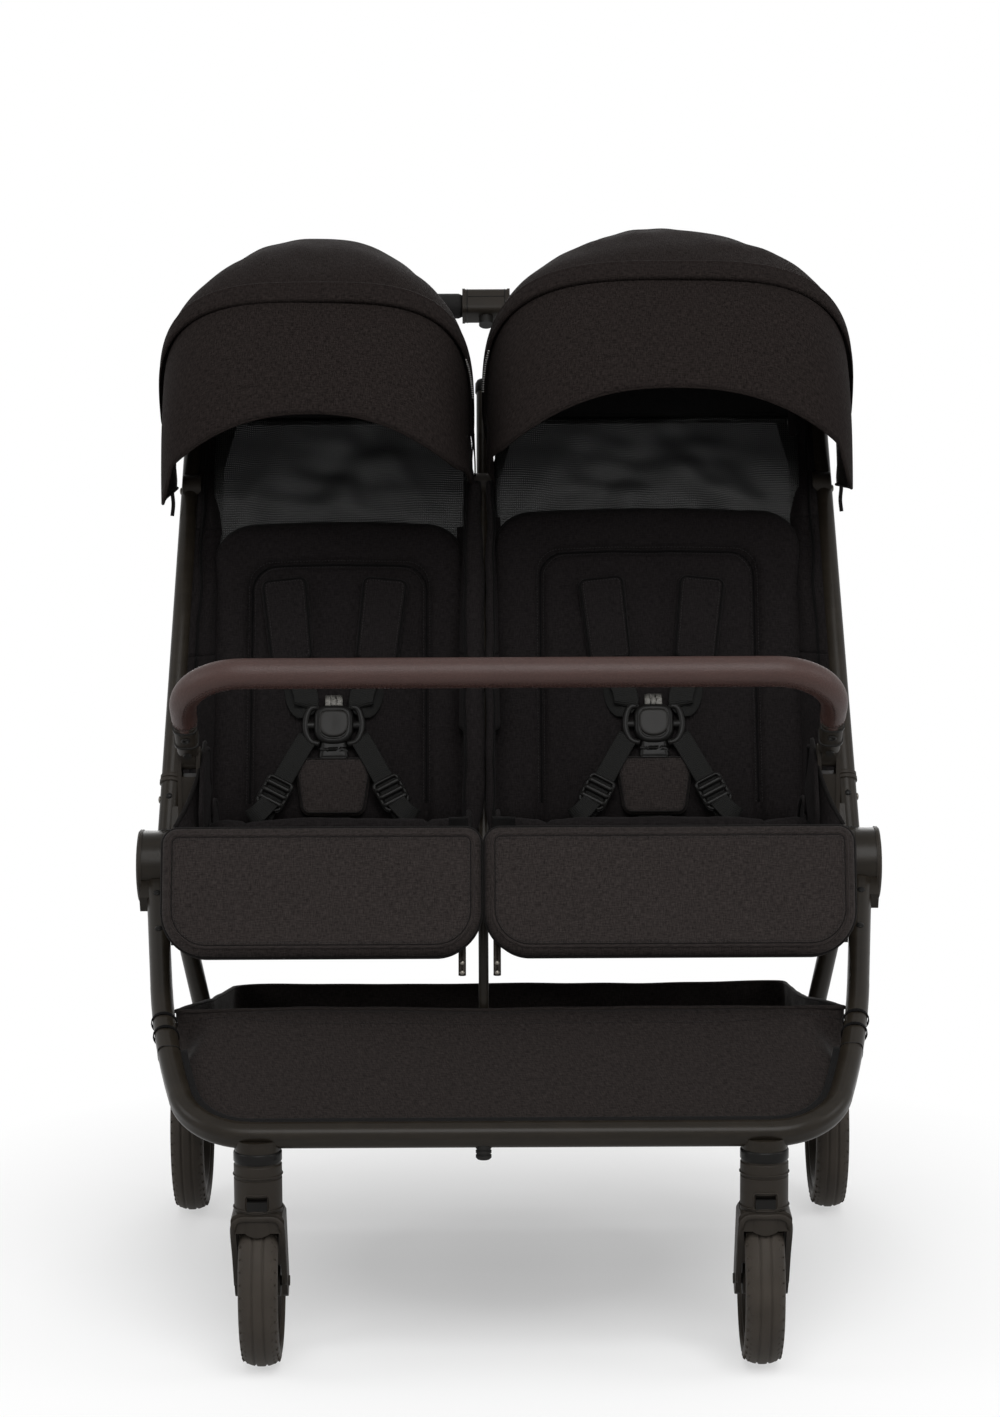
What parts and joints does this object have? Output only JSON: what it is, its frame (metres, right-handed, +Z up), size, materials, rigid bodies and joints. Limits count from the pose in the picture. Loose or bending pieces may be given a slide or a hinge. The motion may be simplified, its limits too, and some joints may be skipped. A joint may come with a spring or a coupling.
{
  "type": "side by side double stroller",
  "caption": "Folding side by side double stroller with two canopied seats, a shared bumper bar, a big cloth basket, swivel castors at the front and larger wheels behind",
  "frame": {"origin": "on the floor under the middle of the overall box", "axes": "+Z up, front towards -Y, +X to the right of someone who looks at the front"},
  "size_m": [0.77, 0.8258, 1.0743],
  "materials": {
    "frame_black": "satin black enamel on aluminium tube",
    "plastic_black": "fine-grained moulded plastic",
    "button_grey": "smooth moulded plastic",
    "steel": "dull zinc",
    "rubber_black": "matt rubber",
    "foam_black": "closed foam sleeve",
    "tyre_black": "matt tread",
    "mesh_black": "sheer mesh",
    "canopy_cloth": "melange weave",
    "seat_cloth": "padded melange weave",
    "harness_cloth": "padded cloth with piping",
    "leather_brown": "stitched leatherette",
    "basket_cloth": "coated cloth"
  },
  "bodies": {
    "front_frame": {"front_frame": "frame_black", "hub_cover_left": "plastic_black", "hub_cover_right": "plastic_black", "seat_frame": "frame_black", "centre_strut": "frame_black", "frame_foot": "rubber_black", "castor_housing_left": "plastic_black", "castor_housing_right": "plastic_black", "seat_tub_left": "seat_cloth", "seat_tub_right": "seat_cloth", "seat_cushion_left": "seat_cloth", "seat_cushion_right": "seat_cloth", "bumper_brackets": "plastic_black", "basket": "basket_cloth"},
    "push_frame": {"push_tube_left": "frame_black", "push_tube_right": "frame_black", "handlebar": "frame_black", "handle_grips": "foam_black", "fold_housing": "plastic_black", "centre_post": "frame_black", "recline_bar": "frame_black", "canopy_clips": "plastic_black", "mesh_windows": "mesh_black", "canopy_rear_left": "canopy_cloth", "canopy_rear_right": "canopy_cloth"},
    "rear_frame": {"rear_leg_left": "frame_black", "rear_leg_right": "frame_black", "rear_axle": "steel"},
    "brake": {"brake_pedal": "plastic_black"},
    "bumper": {"bumper_bar": "plastic_black", "bumper_cover": "leather_brown"},
    "fold_button": {"fold_button": "button_grey"},
    "seat_back_left": {"back_board_left": "plastic_black", "back_pad_left": "seat_cloth", "harness_left": "harness_cloth", "buckle_left": "plastic_black"},
    "buckle_button_left": {"buckle_button_left": "button_grey"},
    "leg_rest_left": {"leg_rest_left": "seat_cloth"},
    "canopy_bow_left": {"canopy_front_left": "canopy_cloth"},
    "castor_left": {"fork_left": "plastic_black"},
    "castor_lock_left": {"castor_lock_left": "button_grey"},
    "front_wheel_left": {"front_rim_left": "plastic_black", "front_tyre_left": "tyre_black"},
    "rear_wheel_left": {"rear_rim_left": "plastic_black", "rear_tyre_left": "tyre_black"},
    "bumper_button_left": {"bumper_button_left": "button_grey"},
    "seat_back_right": {"back_board_right": "plastic_black", "back_pad_right": "seat_cloth", "harness_right": "harness_cloth", "buckle_right": "plastic_black"},
    "buckle_button_right": {"buckle_button_right": "button_grey"},
    "leg_rest_right": {"leg_rest_right": "seat_cloth"},
    "canopy_bow_right": {"canopy_front_right": "canopy_cloth"},
    "castor_right": {"fork_right": "plastic_black"},
    "castor_lock_right": {"castor_lock_right": "button_grey"},
    "front_wheel_right": {"front_rim_right": "plastic_black", "front_tyre_right": "tyre_black"},
    "rear_wheel_right": {"rear_rim_right": "plastic_black", "rear_tyre_right": "tyre_black"},
    "bumper_button_right": {"bumper_button_right": "button_grey"}
  },
  "joints": [
    {"name": "frame_fold", "type": "hinge", "parent": "front_frame", "child": "push_frame", "pos_m": [0, 0, 0.425], "axis": [1, 0, 0], "range_deg": [0, 95]},
    {"name": "rear_leg_fold", "type": "hinge", "parent": "front_frame", "child": "rear_frame", "pos_m": [0, 0, 0.425], "axis": [1, 0, 0], "range_deg": [-43, 0]},
    {"name": "bumper_drop", "type": "hinge", "parent": "front_frame", "child": "bumper", "pos_m": [0, -0.118, 0.558], "axis": [1, 0, 0], "range_deg": [0, 57]},
    {"name": "brake_press", "type": "hinge", "parent": "rear_frame", "child": "brake", "pos_m": [0.225, 0.205, 0.095], "axis": [1, 0, 0], "range_deg": [-18, 0]},
    {"name": "fold_button_press", "type": "slide", "parent": "push_frame", "child": "fold_button", "axis": [0, -0.5807, -0.8141], "range_m": [-0.005, 0], "stiffness_N_per_m": 400},
    {"name": "recline_left", "type": "hinge", "parent": "push_frame", "child": "seat_back_left", "pos_m": [0, 0.075, 0.44], "axis": [1, 0, 0], "range_deg": [-32, 0]},
    {"name": "leg_rest_lift_left", "type": "hinge", "parent": "front_frame", "child": "leg_rest_left", "pos_m": [0, -0.197, 0.478], "axis": [1, 0, 0], "range_deg": [-65, 0]},
    {"name": "canopy_open_left", "type": "hinge", "parent": "push_frame", "child": "canopy_bow_left", "pos_m": [0, 0.26306, 0.79379], "axis": [1, 0, 0], "range_deg": [-50, 0]},
    {"name": "castor_swivel_left", "type": "hinge", "parent": "front_frame", "child": "castor_left", "pos_m": [-0.241, -0.368, 0.165], "axis": [0, 0, 1], "continuous": true},
    {"name": "front_wheel_spin_left", "type": "hinge", "parent": "castor_left", "child": "front_wheel_left", "pos_m": [-0.241, -0.33, 0.082], "axis": [1, 0, 0], "continuous": true},
    {"name": "rear_wheel_spin_left", "type": "hinge", "parent": "rear_frame", "child": "rear_wheel_left", "pos_m": [-0.35, 0.205, 0.095], "axis": [1, 0, 0], "continuous": true},
    {"name": "castor_lock_slide_left", "type": "slide", "parent": "front_frame", "child": "castor_lock_left", "axis": [0, 0, -1], "range_m": [-0.004, 0]},
    {"name": "buckle_press_left", "type": "slide", "parent": "seat_back_left", "child": "buckle_button_left", "axis": [0, -0.9063, 0.4226], "range_m": [-0.002, 0], "stiffness_N_per_m": 300},
    {"name": "bumper_release_left", "type": "slide", "parent": "bumper", "child": "bumper_button_left", "axis": [0, -0.6733, -0.7393], "range_m": [-0.002, 0], "stiffness_N_per_m": 300},
    {"name": "recline_right", "type": "hinge", "parent": "push_frame", "child": "seat_back_right", "pos_m": [0, 0.075, 0.44], "axis": [1, 0, 0], "range_deg": [-32, 0]},
    {"name": "leg_rest_lift_right", "type": "hinge", "parent": "front_frame", "child": "leg_rest_right", "pos_m": [0, -0.197, 0.478], "axis": [1, 0, 0], "range_deg": [-65, 0]},
    {"name": "canopy_open_right", "type": "hinge", "parent": "push_frame", "child": "canopy_bow_right", "pos_m": [0, 0.26306, 0.79379], "axis": [1, 0, 0], "range_deg": [-50, 0]},
    {"name": "castor_swivel_right", "type": "hinge", "parent": "front_frame", "child": "castor_right", "pos_m": [0.241, -0.368, 0.165], "axis": [0, 0, 1], "continuous": true},
    {"name": "front_wheel_spin_right", "type": "hinge", "parent": "castor_right", "child": "front_wheel_right", "pos_m": [0.241, -0.33, 0.082], "axis": [1, 0, 0], "continuous": true},
    {"name": "rear_wheel_spin_right", "type": "hinge", "parent": "rear_frame", "child": "rear_wheel_right", "pos_m": [0.35, 0.205, 0.095], "axis": [1, 0, 0], "continuous": true},
    {"name": "castor_lock_slide_right", "type": "slide", "parent": "front_frame", "child": "castor_lock_right", "axis": [0, 0, -1], "range_m": [-0.004, 0]},
    {"name": "buckle_press_right", "type": "slide", "parent": "seat_back_right", "child": "buckle_button_right", "axis": [0, -0.9063, 0.4226], "range_m": [-0.002, 0], "stiffness_N_per_m": 300},
    {"name": "bumper_release_right", "type": "slide", "parent": "bumper", "child": "bumper_button_right", "axis": [0, -0.6733, -0.7393], "range_m": [-0.002, 0], "stiffness_N_per_m": 300}
  ],
  "couplings": [
    {"joint": "rear_leg_fold", "follows": "frame_fold", "ratio": -0.45},
    {"joint": "bumper_drop", "follows": "frame_fold", "ratio": 0.6}
  ]
}
